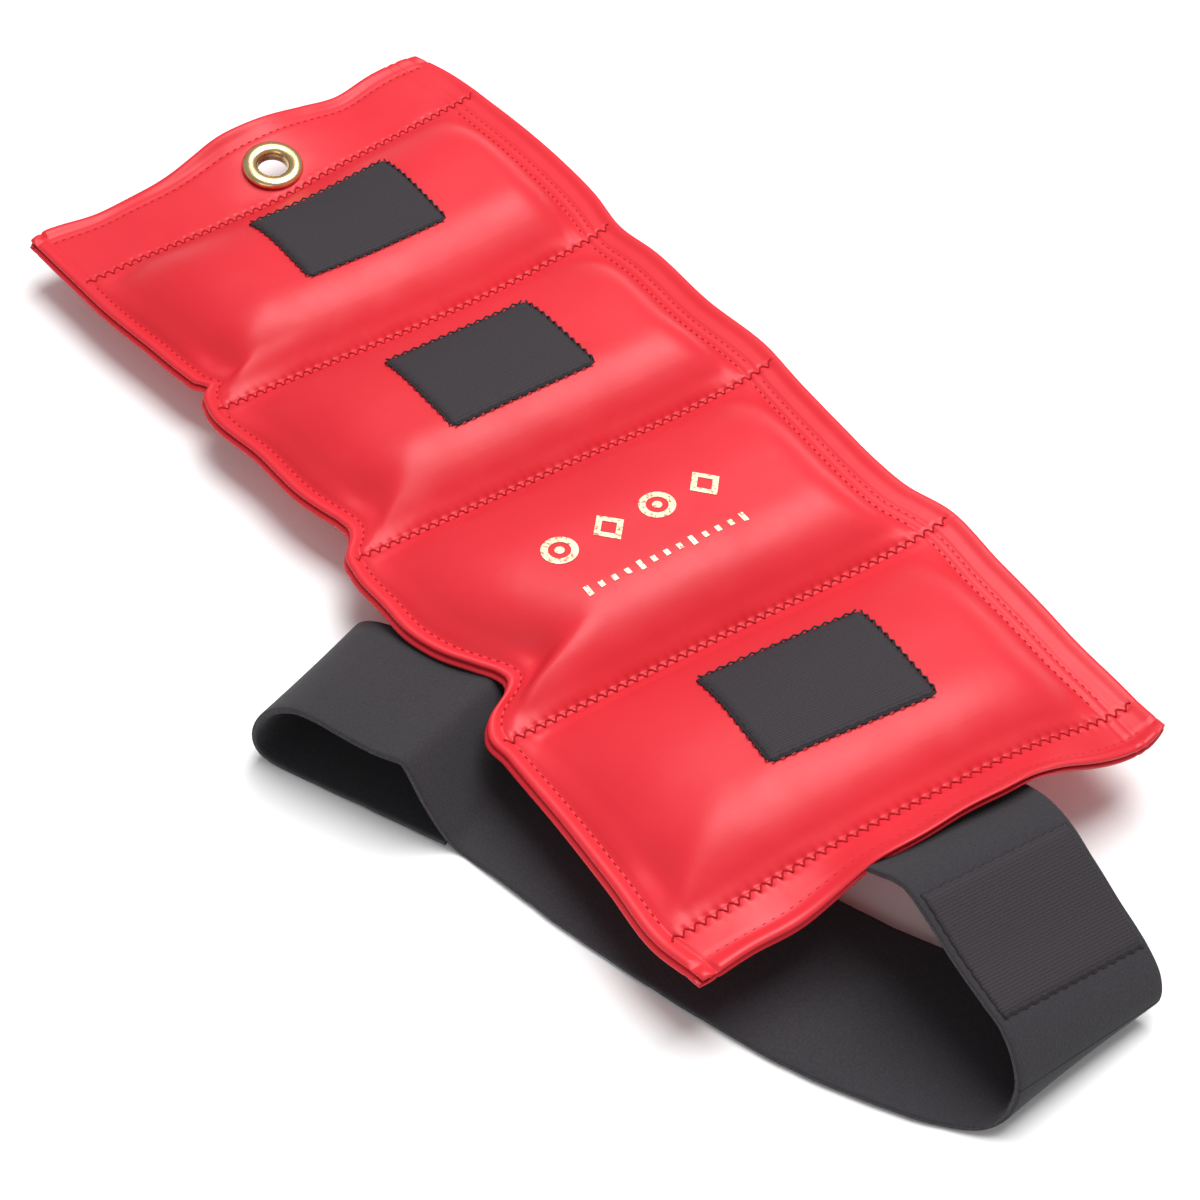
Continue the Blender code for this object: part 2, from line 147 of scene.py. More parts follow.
PATCH_LENGTH = 39.6
PATCH_WIDTH = 51.5
PATCH_Y = 5.5
PATCH_X = {0: -129.8, 1: -41.6, 3: 125.3}
PATCH_TURN = {0: 2.0, 1: 0.0, 3: 5.0}  # degrees further round than the seams beside it
PATCH_ROWS = 62
PATCH_COLUMNS = 46
PATCH_TOOTH = 1.7  # half the pitch of its serrated edge
PATCH_THICK = 1.1
PATCH_LIFTS = (0.35, 0.8, 1.15)  # over the vinyl, from its edge inwards
GROMMET = (-180.5, 4.5)
GROMMET_LEAN = 13.0  # degrees, with the header's slope
GROMMET_RISE = 1.0
GROMMET_SIDES = 72
HOLE_RADIUS = 7.2  # left out of the header's skins

# The foil mark: a row of shapes beside a row of ticks
FOIL_LIFT = 0.16  # over the vinyl
MARK_LEAN = 0.02  # X against Y along both rows
SHAPES_X = 43.0
SHAPES_Y = (-24, -7, 10, 27)
TICKS = 13
TICKS_X = 61.0
TICKS_Y = -26
TICK_GAP = 4.5
TICK_HALF = 0.8

# The strap: X, Y, Z of its middle, heading and tilt of its width, in degrees
STRAP_WIDTH = 53.0
STRAP_THICK = 2.2
UPPER = ((171, 5, 27.6, 0, 0), (175, 5, 28.9, 0, -1), (181, 5, 32, 0, -2),
         (187, 5, 35.2, 0, -3), (192, 5, 37.6, 0, -5), (197, 5, 38.4, 0, -6.5),
         (202, 5, 37.3, 0, -7), (208, 5, 34.6, 0, -7), (215, 5, 31.2, 0, -7.3),
         (222, 5, 28, 0, -8), (230, 5, 25, 0.5, -9), (236, 5, 22.3, 1, -10),
         (241.8, 4.6, 17, 2, -9.5), (245.2, 3, 10.8, 4, -7.5), (244.3, 0, 5.4, 8, -4.5),
         (240, -5, 2.3, 14, -2), (232.5, -11.5, 1.1, 18, 0), (221, -20, 1.1, 21, 0),
         (196, -34.4, 1.1, 22, 0), (167, -46, 1.1, 21, 0), (130, -57.5, 1.1, 19, 0),
         (100, -65, 1.1, 22, 0))
STRAP_STEP = 1.3  # between its stations
STRAP_DENSE = 6000
STRAP_EDGE = ((0.0, 0.42), (0.12, 0.72), (0.45, 0.92), (1.0, 1.0))  # in from its edge, height
STRAP_GROOVE = (0.45, 0.05)
STRAP_TAPE = 24.6  # half width of its hook tape
TAPE_SINK = 0.3  # from the tape's face down to its underside
STRAP_TEETH = 24.5  # half width over which the teeth at the tape's ends are counted

# The near loop: distance, Z and tilt of each station along its own line
LOOP_START = np.array((36.7, -120.3, 0.0))
LOOP_HEADING = 25.5
LOOP_MIDDLE = 25.5
LOOP = ((64, 1.1, 0), (59.5, 4.4, -3), (55, 10, -6), (51, 16.3, -10),
        (48.6, 20, -12.5), (47, 21.4, -13.5), (44, 21.2, -13.5), (37, 20.4, -13.5),
        (25, 20.9, -15), (17.5, 21.1, -16), (11, 20.4, -16), (3.2, 17, -13),
        (-2, 11.5, -8.5), (-3.8, 6.5, -4.5), (-2.6, 2.9, -1.5), (2, 1.1, 0),
        (30, 1.1, 0), (60, 1.1, 0))

# Bodies on both sides of each fold line, the fold line, where the next piece starts, CAD nodes
STRAP_PIECES = (
    ("tail", "strap_upper", (198.5, 5, 38.3), (213, 5, 32.2), ("strap_root",)),
    ("strap_upper", "strap_bend", (236.0, 5, 22.3), (245.2, 3, 10.8), ("strap_upper_run",)),
    ("strap_bend", "strap_floor_run", (232.5, -11.5, 1.1), (167, -46, 1.1), ("strap_bend",)),
    ("strap_floor_run", "strap_rise", (64.0, 1.1), (53.0, 13.0), ("strap_floor_run",)),
    ("strap_rise", "strap_top_run", (47.0, 21.4), (30.0, 20.7), ("strap_rise",)),
    ("strap_top_run", "strap_fold", (12.0, 20.4), (-0.9, 9.0), ("strap_top_run",)),
    ("strap_fold", "strap_free_end", (4.0, 1.1), None, ("strap_fold", "strap_free_end")),
)


def placed(points):
    """Points of the cuff, in millimetres, as metres in the frame."""
    return (np.asarray(points, float) - BOX_CENTRE) * MM


def smooth(value):
    share = np.clip(value, 0.0, 1.0)
    return share * share * (3 - 2 * share)


def curve(points, at):
    """A smooth curve through (position, value) points, read at the positions asked for."""
    xs, ys = np.array(points, float).T
    slopes = np.gradient(ys, xs)
    at = np.clip(np.asarray(at, float), xs[0], xs[-1])
    i = np.clip(np.searchsorted(xs, at) - 1, 0, len(xs) - 2)
    h = xs[i + 1] - xs[i]
    t = (at - xs[i]) / h
    return ((2 * t**3 - 3 * t**2 + 1) * ys[i] + (t**3 - 2 * t**2 + t) * h * slopes[i]
            + (3 * t**2 - 2 * t**3) * ys[i + 1] + (t**3 - t**2) * h * slopes[i + 1])


def spread(table, places):
    """Rows of a table read between its own rows, along a smooth curve."""
    low = np.clip(np.floor(places).astype(int), 0, len(table) - 2)
    t = (places - low)[:, None, None]
    before = table[np.maximum(low - 1, 0)]
    after = table[np.minimum(low + 2, len(table) - 1)]
    first, second = table[low], table[low + 1]
    return first + 0.5 * t * (second - before + t * (2 * before - 5 * first + 4 * second - after
                                                     + t * (3 * (first - second) + after - before)))


def linked(name, data):
    """A new object in the scene."""
    made = bpy.data.objects.new(name, data)
    bpy.context.scene.collection.objects.link(made)
    return made


def new_mesh(name, points, faces, look, uv=None):
    """A smooth mesh object from points in millimetres."""
    mesh = bpy.data.meshes.new(name)
    mesh.from_pydata([tuple(p) for p in placed(points)], [], faces)
    if uv is not None:
        layer = mesh.uv_layers.new(name="cloth")
        order = np.zeros(len(mesh.loops), np.int32)
        mesh.loops.foreach_get("vertex_index", order)
        layer.data.foreach_set("uv", (np.asarray(uv, np.float32) * MM * UV_SCALE)[order].ravel())
    mesh.materials.append(look)
    mesh.shade_smooth()
    return linked(name, mesh)


def grid_faces(rows, columns, start=0, flip=False, ring=False):
    """Quads of a grid of points. With ring, its last column joins the first."""
    i, j = np.indices((rows - 1, columns if ring else columns - 1))
    a = start + i * columns + j
    b = start + (i + 1) * columns + j
    c = start + (i + 1) * columns + (j + 1) % columns
    d = start + i * columns + (j + 1) % columns
    quads = np.stack((a, d, c, b) if flip else (a, b, c, d), axis=-1)
    return quads.reshape(-1, 4).tolist()


def seam_x(seam, y):
    return SEAM_X[seam] + SEAM_LEAN[seam] * y


def seam_z(seam, y):
    return curve(SEAM_HEIGHT[seam], y)


class Rows:
    """Rows across the cuff: the near turned edge, the pocket, then the far flange.

    The Y of a row is near_share * near edge + far_share * far edge + shift.
    """

    def __init__(self, rows):
        table = np.array(rows, float)
        self.near_share, self.far_share, self.shift, self.up = (table[:, k, None] for k in range(4))

    def across(self):
        """Share of the way between the two hems, below 0 or over 1 outside them."""
        between = (self.near_share > 0) & (self.far_share > 0)
        return np.where(between, self.far_share, np.where(self.near_share == 1, 0.0, 1.0))

    def at(self, x, front=True):
        """Y, height of the turned edges, and the distances to both edges, for a grid of X."""
        near = curve(NEAR_EDGE, x)
        far = curve(FAR_EDGE, x)
        step = np.where((self.near_share == 1) & (self.up > 0) & (not front), HEM_STEP, 0.0)
        fading = np.clip(1 - self.shift / NEAR_HEM, 0, 1)
        y = self.near_share * near + self.far_share * far + self.shift - step * fading
        return y, self.up + 0 * y, y + step * fading - near, far - y

    def laid(self, x_of_y, x, front=True):
        """Settle X and Y together, because the seams lean."""
        for _ in range(3):
            y, up, from_near, from_far = self.at(x, front)
            x = x_of_y(y)
        return x, y, up, from_near, from_far


def between_hems(count):
    """Table of the rows that lie between the two hems."""
    return [(1 - share, share, NEAR_HEM - share * (FAR_HEM + NEAR_HEM), 0.0)
            for share in np.linspace(0, 1, count)]


def edge_to_edge(count):
    """All rows, with a number of them between the two hems."""
    near = [(1.0, 0.0, o, up) for o, up in HEM_ROLL]
    steps = np.arange(FAR_HEM - FLANGE_STEP, FLANGE_FLAT, -FLANGE_STEP)
    flat = [(0.0, 1.0, -o, 0.0) for o in steps]
    far = [(0.0, 1.0, -o, up) for o, up in reversed(FLANGE_ROLL)]
    return Rows(near + between_hems(count) + flat + far)


def triangle(phase):
    """1 down to 0 and up again, over a phase of 2."""
    return np.abs(phase % 2 - 1)


def zigzag(y, seam):
    """Distance of the zigzag thread from the middle of its seam, and its place in the pitch."""
    phase = (y + STITCH_OFFSET * seam) / (STITCH_PITCH / 2)
    return STITCH_REACH * (1 - 2 * triangle(phase)), phase


def zigzag_relief(d, y, seam):
    """Relief at distance d from the middle of a stitched line: a groove between needle pits."""
    swing, phase = zigzag(y, seam)
    nearest = np.round(phase)
    corner = STITCH_REACH * (1 - 2 * triangle(nearest))
    groove = -0.16 * np.exp(-((d - swing) * 0.6 / 0.35) ** 2)
    from_pit = np.hypot(d - corner, (phase - nearest) * STITCH_PITCH / 2)
    pits = -0.4 * np.exp(-(from_pit / 0.55) ** 2)
    return (groove + pits) * smooth(2.9 - np.abs(d))


def puckers(d, y, seed):
    """Fine gathers that run out from a stitched line."""
    away = np.clip(np.abs(d) - SEAM_LINE, 0, None)
    fine = np.sin(2 * math.pi * y / STITCH_PITCH + seed) * 0.10 * np.exp(-away / 1.6)
    wide = (np.sin(y / 3.1 + 1.3 * seed) + np.sin(y / 4.7 + 2.1 * seed)) * 0.10
    return fine + wide * np.exp(-((away - 4) / 4.5) ** 2) * smooth(away / 2)


def swell(distance, reach, power):
    """Rise from 0 at a seam to 1 at the reach, steepest at the seam."""
    share = np.clip(distance / reach, 0, 1)
    return 1 - (1 - share) ** power


def groove(distance, depth, width):
    """Dip along a line at distance 0."""
    return -depth * np.exp(-(distance / width) ** 2)


def dent(along, across, depth, place, width, centre, spread_by):
    """Factor that presses in a small round place near a pocket's corner."""
    away = ((along - place) / width) ** 2 + ((across - centre) / spread_by) ** 2
    return 1 - depth * np.exp(-away)


def from_ends(count):
    """Steps from the nearer end, for each of a number of places."""
    places = np.arange(count)
    return np.minimum(places, count - 1 - places)


def turned_edges(from_near, from_far):
    """Where stitches show: 0 on the turned edges, 1 between them."""
    return smooth((from_near - 2.6) / 1.5) * smooth((from_far - 1.5) / 1.5)


class Pocket:
    """Surface of pocket p, between seams p and p + 1."""

    def __init__(self, number):
        self.number = number
        self.span = SEAM_X[number + 1] - SEAM_X[number]
        self.moved = {}

    def columns(self):
        """Distances from the first seam, finer towards both seams."""
        fine = np.arange(SEAM_STRIP, 12, 0.8)
        return np.concatenate((fine, np.arange(12, self.span - 12, 1.9), self.span - fine[::-1]))

    def settle(self, look):
        """Relax the filled pocket as cloth under pressure, held where it is sewn."""
        rows = Rows(between_hems(SETTLE_ROWS))
        columns = np.linspace(0, self.span, SETTLE_COLUMNS)
        grids = [self.points(columns, rows, front, plain=True) for front in (True, False)]
        piece = skin_pair("settling", *grids, look)
        piece.data.transform(Matrix.Scale(SETTLE_SCALE, 4))
        sewn = piece.vertex_groups.new(name="sewn")
        count = SETTLE_ROWS * SETTLE_COLUMNS
        held = (from_ends(SETTLE_ROWS)[:, None] * from_ends(SETTLE_COLUMNS)).ravel() == 0
        sewn.add(np.flatnonzero(np.tile(held, 2)).tolist(), 1.0, "REPLACE")
        cloth = piece.modifiers.new("cloth", "CLOTH")
        cloth.point_cache.frame_start = 1
        cloth.point_cache.frame_end = SETTLE_FRAMES
        for key, value in SETTLE_CLOTH.items():
            setattr(cloth.settings, key, value)
        cloth.settings.vertex_group_mass = sewn.name
        cloth.settings.effector_weights.gravity = 0
        scene = bpy.context.scene
        start = np.array([v.co for v in piece.data.vertices])
        for frame in range(1, SETTLE_FRAMES + 1):
            scene.frame_set(frame)
        shape = piece.evaluated_get(bpy.context.evaluated_depsgraph_get()).to_mesh()
        end = np.array([v.co for v in shape.vertices])
        scene.frame_set(1)
        shift = (end - start) / (SETTLE_SCALE * MM)
        bpy.data.objects.remove(piece)
        size = np.linalg.norm(shift, axis=1)[:, None]
        shift = shift * np.tanh(size / SETTLE_LIMIT) * SETTLE_LIMIT / np.maximum(size, 1e-6)
        free = (smooth(from_ends(SETTLE_ROWS)[:, None] / SETTLE_HOLD)
                * smooth(from_ends(SETTLE_COLUMNS)[None, :] / SETTLE_HOLD))
        for front, part in ((True, shift[:count]), (False, shift[count:])):
            self.moved[front] = part.reshape(SETTLE_ROWS, SETTLE_COLUMNS, 3) * free[..., None]

    def settled(self, columns, rows, front):
        """How far the settled cloth has moved at each point of a finer grid."""
        table = self.moved[front]
        across = np.clip(rows.across().ravel(), 0, 1) * (table.shape[0] - 1)
        along = np.clip(columns / self.span, 0, 1) * (table.shape[1] - 1)
        return spread(spread(table, across).transpose(1, 0, 2), along).transpose(1, 0, 2)

    def points(self, columns, rows, front=True, plain=False):
        """Grid of points. A column is its distance from the first seam along the middle line."""
        p = self.number
        share = columns[None, :] / self.span
        x = SEAM_X[p] + columns[None, :] + 0 * rows.shift
        x, y, up, from_near, from_far = rows.laid(
            lambda y: seam_x(p, y) * (1 - share) + seam_x(p + 1, y) * share, x, front)
        before = x - seam_x(p, y)
        after = seam_x(p + 1, y) - x
        base = seam_z(p, y) * (1 - share) + seam_z(p + 1, y) * share
        detail = 0.0 if plain else 1.0
        if front:
            z = base + self.front(before, after, y, from_near, from_far, up, detail)
        else:
            z = self.back(base, before, after, y, from_near, from_far, up)
        made = np.stack((x, y, z), axis=-1)
        if self.moved and not plain:
            made += self.settled(columns, rows, front)
            made[..., 2] = np.maximum(made[..., 2], 0.15)
        return made

    def front(self, before, after, y, from_near, from_far, up, detail):
        """Height of the front skin over the seams' plane."""
        p = self.number
        inwards = from_near - NEAR_HEM
        rise = swell(before - SEAM_LINE, RISE_REACH, SWELL_POWER)
        fall = swell(after - SEAM_LINE, FALL_REACH, SWELL_POWER)
        near = swell(inwards, NEAR_REACH, NEAR_POWER)
        far = swell(from_far - FAR_HEM, FAR_REACH, SWELL_POWER)
        height = CROWN[p] * rise * fall * near * far
        along = np.clip(inwards / RIDGE_LENGTH, 0, 1)
        ridge_at = RIDGE_START + RIDGE_RUN * along ** 0.8
        ridge = np.exp(-((after - ridge_at) / (3.2 + 5 * along)) ** 2)
        height += RIDGE_HEIGHT * ridge * smooth(inwards / 11) * (1 - along) ** 1.2
        height *= dent(after, inwards, *TAIL_DENT)
        height *= dent(before, inwards, *HEADER_DENT)
        inside = smooth(inwards / 2) * smooth((from_far - FAR_HEM) / 2)
        height += (puckers(before, y, p) + puckers(after, y, p + 1)) * inside * detail
        seams = zigzag_relief(before, y, p) + zigzag_relief(-after, y, p + 1)
        height += detail * seams * turned_edges(from_near, from_far)
        for row in FLANGE_ROWS:
            height += groove(from_far - row, 0.5, ROW_GROOVE)
        height += groove(inwards + 0.4, 0.3, EDGE_GROOVE)
        return height + np.where(up > 0, up, PLY)

    def back(self, base, before, after, y, from_near, from_far, up):
        """Height of the back skin, which sags to the floor."""
        p = self.number
        floor = np.where(before < after, SEAM_FLOOR[p], SEAM_FLOOR[p + 1])
        deepest = base - SAG_LESS - floor
        full = 1.0
        for inside in (before - SEAM_LINE, after - SEAM_LINE, from_near - NEAR_HEM, from_far - FAR_HEM):
            full = full * swell(inside, BACK_REACH, NEAR_POWER)
        z = base - np.where(up > 0, up, PLY) - (deepest - SAG_CLEARANCE) * full
        relief = zigzag_relief(before, y, p) + zigzag_relief(-after, y, p + 1)
        return z - relief * turned_edges(from_near, from_far)


class Flap:
    """Header or tail: a thin flap outside the first or last seam."""

    def __init__(self, seam, direction, length, stitch, corners, edge_z):
        self.seam = seam
        self.direction = direction
        self.length = length
        self.stitch = stitch
        self.corners = corners  # depth and width of the near one, then of the far one
        self.edge_z = edge_z  # height along the turned end, as (Y, Z)

    def columns(self):
        """(distance from the seam, height off the middle) of each column, to the turned end."""
        made = [(d, 0.0) for d in np.arange(SEAM_STRIP, self.length - 6.0, 0.75)]
        made += [(self.length - o, up) for o, up in reversed(HEM_ROLL)]
        return made

    def points(self, columns, rows, front=True):
        out, lift = np.array(columns, float).T
        x = SEAM_X[self.seam] + self.direction * out[None, :] + 0 * rows.shift
        x, y, up, from_near, from_far = rows.laid(
            lambda y: seam_x(self.seam, y) + self.direction * self.reach(out[None, :], y), x, front)
        share = out[None, :] / self.length
        base = self.middle(y, share)
        end = np.where(lift > 0, lift, np.inf)[None, :]
        thick = np.minimum(np.where(up > 0, up, np.inf), end)
        thick = np.where(np.isinf(thick), PLY, thick)
        d = out[None, :] + 0 * y
        relief = zigzag_relief(self.direction * d, y, self.seam)
        thick = thick + relief * turned_edges(from_near, from_far)
        inside = smooth((from_near - 3) / 3) * smooth((from_far - 2) / 3)
        inside = inside * smooth((self.length - d - 1.5) / 3)
        thick += puckers(d, y, self.seam + 0.5) * inside
        thick += groove(self.length - d - self.stitch, 0.4, EDGE_GROOVE) * inside
        for row in FLANGE_ROWS:
            thick += groove(from_far - row, 0.4, ROW_GROOVE)
        thick += groove(from_near - NEAR_HEM + 0.4, 0.25, EDGE_GROOVE)
        wave = 0.5 * np.sin(y / 9.0 + self.seam) * share * inside
        z = base + wave + (thick if front else -thick)
        return np.stack((x, y, z), axis=-1)

    def reach(self, out, y):
        """Distance from the seam, shortened where the flap's corners are rounded."""
        end = SEAM_X[self.seam] + self.direction * self.length
        near_corner, far_corner = self.corners
        cut = near_corner[0] * np.clip(1 - (y - curve(NEAR_EDGE, end)) / near_corner[1], 0, 1) ** 2
        cut += far_corner[0] * np.clip(1 - (curve(FAR_EDGE, end) - y) / far_corner[1], 0, 1) ** 2
        wander = 0.7 * np.sin(y / 13.0 + self.seam) + 0.4 * np.sin(y / 5.3)
        return out * (1 - (cut + wander) / self.length)

    def middle(self, y, share):
        """Height of the flap's middle, at a share of the way from its seam to its end."""
        low = seam_z(self.seam, y)
        return low + (curve(self.edge_z, y) - low) * share ** 1.15


HEADER = Flap(0, -1, HEADER_LENGTH, HEADER_STITCH, ((2.5, 9), (1.4, 9)), (
    (-84, 17.5), (-70, 16.8), (-54, 15.2), (-34, 15.6), (-17, 20), (-5, 23.8), (8, 25.2),
    (28, 21.5), (42, 19.2), (58, 20.8), (71, 22.0), (86, 21.5),
))
TAIL = Flap(4, 1, TAIL_LENGTH, TAIL_STITCH, ((0.3, 7), (3.6, 11)), (
    (-76, 23.5), (-57, 24.3), (-40, 25.2), (-30, 28.5), (-18, 35.2), (2, 38.6), (20, 39.8),
    (29, 39.3), (41, 34.3), (55, 28.0), (69, 23.8), (80, 24.4),
))


def skin_pair(name, front, back, look, uv=None, walls="nfse"):
    """One piece from the front and back grids, joined at its near, far, start and end sides."""
    rows, columns = front.shape[:2]
    points = np.concatenate((front.reshape(-1, 3), back.reshape(-1, 3)))
    faces = grid_faces(rows, columns)
    faces += grid_faces(rows, columns, start=rows * columns, flip=True)
    half = rows * columns

    def wall(side, a, b, turned):
        if side in walls:
            quad = [a, b, b + half, a + half]
            faces.append(quad[::-1] if turned else quad)

    for r in range(rows - 1):
        wall("s", r * columns, (r + 1) * columns, True)
        wall("e", (r + 1) * columns - 1, (r + 2) * columns - 1, False)
    for c in range(columns - 1):
        wall("n", c, c + 1, False)
        wall("f", half - columns + c, half - columns + c + 1, True)
    sides = (front[..., :2], back[..., :2]) if uv is None else (uv, uv)
    return new_mesh(name, points, faces, look, np.concatenate(sides).reshape(-1, 2))


# ---- materials
class Look:
    """A node material with a few short ways to add to it."""

    def __init__(self, name):
        self.material = bpy.data.materials.new(name)
        self.material.use_nodes = True
        self.tree = self.material.node_tree
        self.shader = self.tree.nodes["Principled BSDF"]

    def add(self, kind, **values):
        node = self.tree.nodes.new(kind)
        for key, value in values.items():
            socket = key.replace("_", " ")
            if socket in node.inputs:
                node.inputs[socket].default_value = value
            else:
                setattr(node, key, value)
        return node

    def link(self, source, socket, target, place):
        self.tree.links.new(source.outputs[socket], target.inputs[place])

    def noise(self, scale, detail, source="Object"):
        node = self.add("ShaderNodeTexNoise", Scale=scale, Detail=detail)
        self.link(self.add("ShaderNodeTexCoord"), source, node, "Vector")
        return node

    def tint(self, source, stops, place="Base Color"):
        """Colour one of the shader's inputs by a node's first output."""
        node = self.add("ShaderNodeValToRGB")
        ends = node.color_ramp.elements
        for end, (position, colour) in zip(ends, (stops[0], stops[-1])):
            end.position = position
            end.color = (*colour, 1)
        for position, colour in stops[1:-1]:
            ends.new(position).color = (*colour, 1)
        self.link(source, 0, node, "Fac")
        self.link(node, "Color", self.shader, place)

    def bump(self, source, strength, distance, before=None):
        node = self.add("ShaderNodeBump", Strength=strength, Distance=distance)
        self.link(source, 0, node, "Height")
        if before is not None:
            self.link(before, "Normal", node, "Normal")
        self.link(node, "Normal", self.shader, "Normal")
        return node

    def finish(self, **values):
        for key, value in values.items():
            self.shader.inputs[key.replace("_", " ")].default_value = value
        return self.material


def grey(value):
    return (value, value, value)


def vinyl_look():
    look = Look("red_vinyl")
    look.tint(look.noise(9.0, 4.0), ((0.3, (0.56, 0.016, 0.026)), (0.7, (0.64, 0.022, 0.034))))
    look.tint(look.noise(55.0, 4.0), ((0.35, grey(0.40)), (0.7, grey(0.48))), "Roughness")
    grain = look.bump(look.noise(1500.0, 2.0), 0.10, 0.0002)
    look.bump(look.noise(60.0, 2.0), 0.12, 0.002, grain)
    return look.finish(Specular_IOR_Level=0.32)


def thread_look(name, colour):
    look = Look(name)
    twist = look.noise(2500.0, 2.0)
    look.tint(twist, ((0.3, tuple(c * 0.6 for c in colour)), (0.7, colour)))
    look.bump(twist, 0.5, 0.0002)
    return look.finish(Roughness=0.7, Specular_IOR_Level=0.2)


def hook_look():
    """Hook tape: woven ground with rows of fine hooks along its length."""
    look = Look("hook_tape")
    rows = look.add("ShaderNodeTexWave", wave_type="BANDS", bands_direction="X", Scale=34.0,
                    Distortion=1.2, Detail=2.0, Detail_Scale=3.0)
    look.link(look.add("ShaderNodeTexCoord"), "UV", rows, "Vector")
    mix = look.add("ShaderNodeMath", operation="MULTIPLY_ADD")
    look.link(rows, "Fac", mix, 0)
    mix.inputs[1].default_value = 0.22
    look.link(look.noise(300.0, 2.0, "UV"), "Fac", mix, 2)
    look.tint(mix, ((0.30, (0.014, 0.012, 0.014)), (0.85, (0.042, 0.035, 0.041))))
    look.bump(mix, 0.4, 0.0005)
    return look.finish(Roughness=0.75, Specular_IOR_Level=0.25)


def strap_look(name, dark, light):
    """Brushed loop cloth over foam. With lighter colours it makes the cut edges, painting a highlight
    along them.
    """
    look = Look(name)
    fuzz = look.noise(1500.0, 3.0)
    look.tint(fuzz, ((0.3, dark), (0.72, light)))
    look.bump(fuzz, 0.35, 0.0005)
    return look.finish(Roughness=0.9, Specular_IOR_Level=0.15, Sheen_Weight=0.08,
                       Sheen_Roughness=0.5)


def brass_look():
    look = Look("grommet_brass")
    wear = look.noise(240.0, 4.0)
    look.tint(wear, ((0.3, (0.60, 0.43, 0.19)), (0.7, (0.86, 0.66, 0.34))))
    look.tint(wear, ((0.3, grey(0.32)), (0.7, grey(0.2))), "Roughness")
    return look.finish(Metallic=1.0)


def foil_look():
    """Hot-stamped foil with worn specks that show the vinyl."""
    look = Look("foil_mark")
    specks = look.noise(900.0, 3.0)
    look.tint(specks, ((0.36, (0.70, 0.16, 0.12)), (0.44, (0.80, 0.66, 0.42)),
                       (0.75, (0.90, 0.80, 0.60))))
    look.bump(specks, 0.25, 0.0002)
    return look.finish(Metallic=0.35, Roughness=0.42)


def floor_look():
    look = Look("pale_floor")
    look.tint(look.noise(2.0, 2.0), ((0.3, grey(0.90)), (0.7, grey(0.92))))
    return look.finish(Roughness=0.8)


# ---- strap
def run_of(points, power=1.0):
    """Distance of each point from the start of its line, with each gap raised to a power."""
    gaps = np.linalg.norm(np.diff(points, axis=0), axis=1)
    return np.concatenate(([0], np.cumsum(gaps ** power)))


def loop_point(distance, z):
    """Middle of the near loop at a distance along it."""
    turn = math.radians(LOOP_HEADING)
    along = np.array((math.cos(turn), math.sin(turn), 0.0))
    side = np.array((-math.sin(turn), math.cos(turn), 0.0))
    middle = LOOP_START + along * distance + side * LOOP_MIDDLE
    middle[2] = z
    return middle


def strap_route():
    """The whole strap's listed stations, from its root to its free end."""
    places = [list(map(float, place)) for place in UPPER]
    for distance, z, tilt in LOOP:
        places.append([*loop_point(distance, z), LOOP_HEADING, tilt])
    return np.array(places)


def resampled(places, step):
    """Evenly spaced stations on a smooth curve through the listed ones, and their distances."""
    knots = run_of(places[:, :3], 0.5)
    dense = np.linspace(0, knots[-1], STRAP_DENSE)
    made = np.stack([curve(list(zip(knots, column)), dense) for column in places.T], axis=1)
    length = run_of(made[:, :3])
    even = np.arange(0, length[-1], step)
    return np.stack([np.interp(even, length, column) for column in made.T], axis=1), even


def strap_axes(stations):
    """Direction along, across and out of the strap at each station."""
    turn = np.radians(stations[:, 3])
    lean = np.radians(stations[:, 4])
    width = np.stack((-np.sin(turn) * np.cos(lean), np.cos(turn) * np.cos(lean), np.sin(lean)),
                     axis=1)
    ahead = np.gradient(stations[:, :3], axis=0)
    normal = np.cross(ahead, width)
    return ahead, width, normal / np.linalg.norm(normal, axis=1)[:, None]


def strap_piece(name, stations, lengths, looks, last):
    """A stretch of strap: a tube of rounded rectangles with a groove along both cut edges."""
    half_width = STRAP_WIDTH / 2
    edge = [(inset, share * STRAP_THICK / 2) for inset, share in STRAP_EDGE]
    groove, groove_height = STRAP_GROOVE
    upper = ([(-half_width + inset, h) for inset, h in edge]
             + [(s, STRAP_THICK / 2) for s in np.linspace(-1, 1, 33)[1:-1] * (half_width - 2.0)]
             + [(half_width - inset, h) for inset, h in reversed(edge)])
    ring = (upper + [(half_width - groove, groove_height)] + [(s, -h) for s, h in reversed(upper)]
            + [(-half_width + groove, groove_height)])
    _, width, normal = strap_axes(stations)
    ripple = 0.5 * np.abs(0.22 * np.sin(lengths / 7.0) + 0.15 * np.sin(lengths / 3.3))
    across = np.array([s for s, _ in ring])
    high = np.array([h for _, h in ring])
    at_edge = np.sign(across) * (np.abs(across) > half_width - 3)
    share = across[None, :] + ripple[:, None] * at_edge[None, :]
    points = (stations[:, None, :3] + width[:, None, :] * share[..., None]
              + normal[:, None, :] * high[None, :, None])
    points[..., 2] = np.maximum(points[..., 2], 0.0)
    rows, columns = points.shape[:2]
    faces = grid_faces(rows, columns, ring=True, flip=True)
    if lengths[0] == 0:
        faces.append(list(range(columns)))
    if last:
        faces.append([(rows - 1) * columns + c for c in reversed(range(columns))])
    uv = np.array([[(length, s) for s in across] for length in lengths]).reshape(-1, 2)
    piece = new_mesh(name, points.reshape(-1, 3), faces, looks["strap"], uv)
    # The cut edges take the second material: foam tone made lighter, a painted highlight along the
    # strap's edges.
    piece.data.materials.append(looks["foam_and_edge_highlight"])
    cut_edges = (len(upper) - 1, len(upper), columns - 2, columns - 1)
    for number in range((rows - 1) * columns):
        piece.data.polygons[number].material_index = int(number % columns in cut_edges)
    return piece


